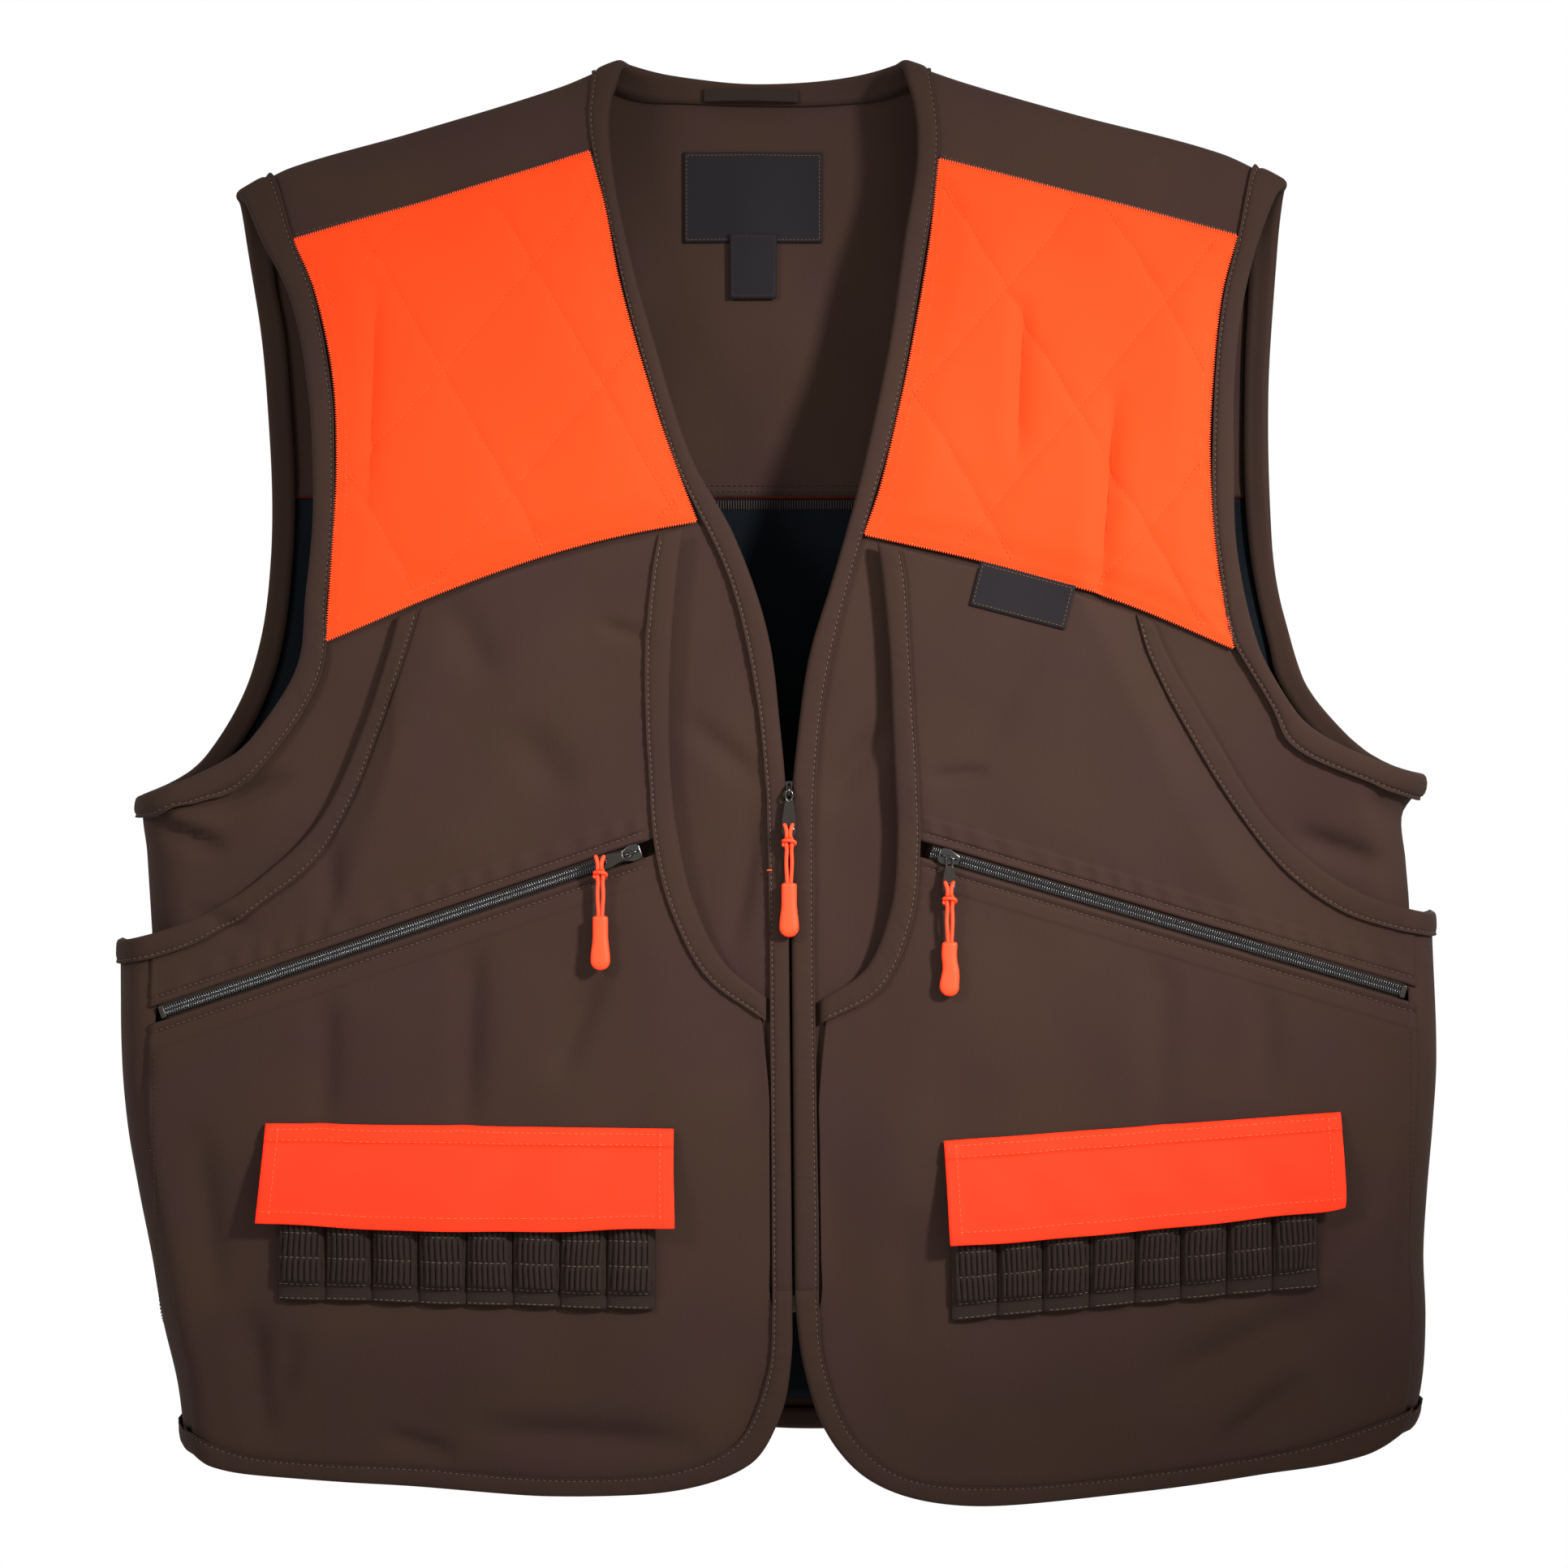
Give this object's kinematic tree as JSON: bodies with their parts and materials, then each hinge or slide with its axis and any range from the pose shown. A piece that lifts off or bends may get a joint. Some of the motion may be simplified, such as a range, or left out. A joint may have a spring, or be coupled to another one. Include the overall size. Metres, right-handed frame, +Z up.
{
  "type": "hunting vest",
  "caption": "Sleeveless upland field vest with quilted orange shoulder patches, slanted zip pockets, pleated shell loops under orange flaps and a rear game bag.",
  "frame": {"origin": "the middle of the hang loop at the back of the neck, from which the vest hangs", "axes": "+Z up along the hanging vest, -Y out of its front, +X towards the wearer's left"},
  "size_m": [0.7095, 0.1469, 0.7706],
  "materials": {
    "canvas": "brown cotton canvas, matt, plain weave",
    "orange_quilt": "blaze orange polyester cloth, quilted in diamonds, slight sheen",
    "orange_cloth": "blaze orange polyester cloth, matt",
    "orange_cord": "braided orange cord",
    "orange_grip": "soft moulded orange grip, satin",
    "lining": "near black smooth lining cloth",
    "batting": "white fibre padding, hidden",
    "elastic": "brown pleated elastic webbing, matt",
    "tape": "woven brown tape",
    "coil": "black nylon coil teeth, satin",
    "gunmetal": "dark nickel plated zinc, semi-gloss",
    "label": "black woven label, blank"
  },
  "bodies": {
    "vest": {"armhole_binding_left": "canvas", "front_edge_binding_left": "canvas", "front_panel_left": "canvas", "front_zip_coil_left": "coil", "front_zip_tape_left": "tape", "hem_binding_left": "canvas", "patch_batting_left": "batting", "pocket_bag_left": "lining", "pocket_lower_panel_left": "canvas", "pocket_mouth_binding_left": "canvas", "pocket_side_binding_left": "canvas", "pocket_upper_panel_left": "canvas", "pocket_zip_coil_left": "coil", "pocket_zip_tape_left": "tape", "quilted_patch_left": "orange_quilt", "shell_loops_left": "elastic", "shoulder_yoke_left": "canvas", "armhole_binding_right": "canvas", "front_edge_binding_right": "canvas", "front_panel_right": "canvas", "front_zip_coil_right": "coil", "front_zip_tape_right": "tape", "hem_binding_right": "canvas", "patch_batting_right": "batting", "pocket_bag_right": "lining", "pocket_lower_panel_right": "canvas", "pocket_mouth_binding_right": "canvas", "pocket_side_binding_right": "canvas", "pocket_upper_panel_right": "canvas", "pocket_zip_coil_right": "coil", "pocket_zip_tape_right": "tape", "quilted_patch_right": "orange_quilt", "shell_loops_right": "elastic", "shoulder_yoke_right": "canvas", "back_hem_binding": "canvas", "back_lining": "lining", "back_neck_binding": "canvas", "chest_label": "label", "front_zip_box": "gunmetal", "game_bag_binding": "canvas", "game_bag_panel": "canvas", "hang_loop": "tape", "neck_label": "label", "outer_back_panel": "orange_cloth", "size_tab": "label", "upper_back_panel": "canvas"},
    "front_slider": {"front_zip_slider": "gunmetal"},
    "front_tab": {"front_zip_tab": "gunmetal"},
    "front_pull": {"front_zip_cord": "orange_cord", "front_zip_grip": "orange_grip"},
    "right_slider": {"pocket_zip_slider_right": "gunmetal"},
    "right_tab": {"pocket_zip_tab_right": "gunmetal"},
    "right_pull": {"pocket_zip_cord_right": "orange_cord", "pocket_zip_grip_right": "orange_grip"},
    "left_slider": {"pocket_zip_slider_left": "gunmetal"},
    "left_tab": {"pocket_zip_tab_left": "gunmetal"},
    "left_pull": {"pocket_zip_cord_left": "orange_cord", "pocket_zip_grip_left": "orange_grip"},
    "right_flap": {"shell_flap_right": "orange_cloth"},
    "left_flap": {"shell_flap_left": "orange_cloth"}
  },
  "joints": [
    {"name": "front_zip_slide", "type": "slide", "parent": "vest", "child": "front_slider", "axis": [0.0091, -0.0198, -0.9998], "range_m": [0, 0.255]},
    {"name": "front_tab_hinge", "type": "hinge", "parent": "front_slider", "child": "front_tab", "pos_m": [0.0208, -0.07098, -0.37684], "axis": [-1, 0, 0], "range_deg": [0, 120]},
    {"name": "front_pull_hinge", "type": "hinge", "parent": "front_tab", "child": "front_pull", "pos_m": [0.0208, -0.07298, -0.39604], "axis": [-1, 0, 0], "range_deg": [0, 55]},
    {"name": "right_zip_slide", "type": "slide", "parent": "vest", "child": "right_slider", "axis": [-0.947, 0.0218, -0.3206], "range_m": [0, 0.245]},
    {"name": "right_tab_hinge", "type": "hinge", "parent": "right_slider", "child": "right_tab", "pos_m": [-0.06282, -0.0783, -0.40948], "axis": [-0.32, 0.0253, 0.9471], "range_deg": [0, 95]},
    {"name": "right_pull_hinge", "type": "hinge", "parent": "right_tab", "child": "right_pull", "pos_m": [-0.07839, -0.08015, -0.41269], "axis": [-1, 0, 0], "range_deg": [0, 55]},
    {"name": "left_zip_slide", "type": "slide", "parent": "vest", "child": "left_slider", "axis": [0.9588, 0.0237, -0.283], "range_m": [0, 0.237]},
    {"name": "left_tab_hinge", "type": "hinge", "parent": "left_slider", "child": "left_tab", "pos_m": [0.10513, -0.07823, -0.41157], "axis": [-0.9998, -0.02, 0], "range_deg": [0, 120]},
    {"name": "left_pull_hinge", "type": "hinge", "parent": "left_tab", "child": "left_pull", "pos_m": [0.10517, -0.08043, -0.42633], "axis": [-0.9998, -0.02, 0], "range_deg": [0, 55]},
    {"name": "right_flap_hinge", "type": "hinge", "parent": "vest", "child": "right_flap", "pos_m": [-0.14744, -0.07707, -0.55322], "axis": [-0.9999, 0, 0.0116], "range_deg": [0, 150]},
    {"name": "left_flap_hinge", "type": "hinge", "parent": "vest", "child": "left_flap", "pos_m": [0.20653, -0.07716, -0.55347], "axis": [-0.9974, 0, -0.0716], "range_deg": [0, 150]}
  ]
}
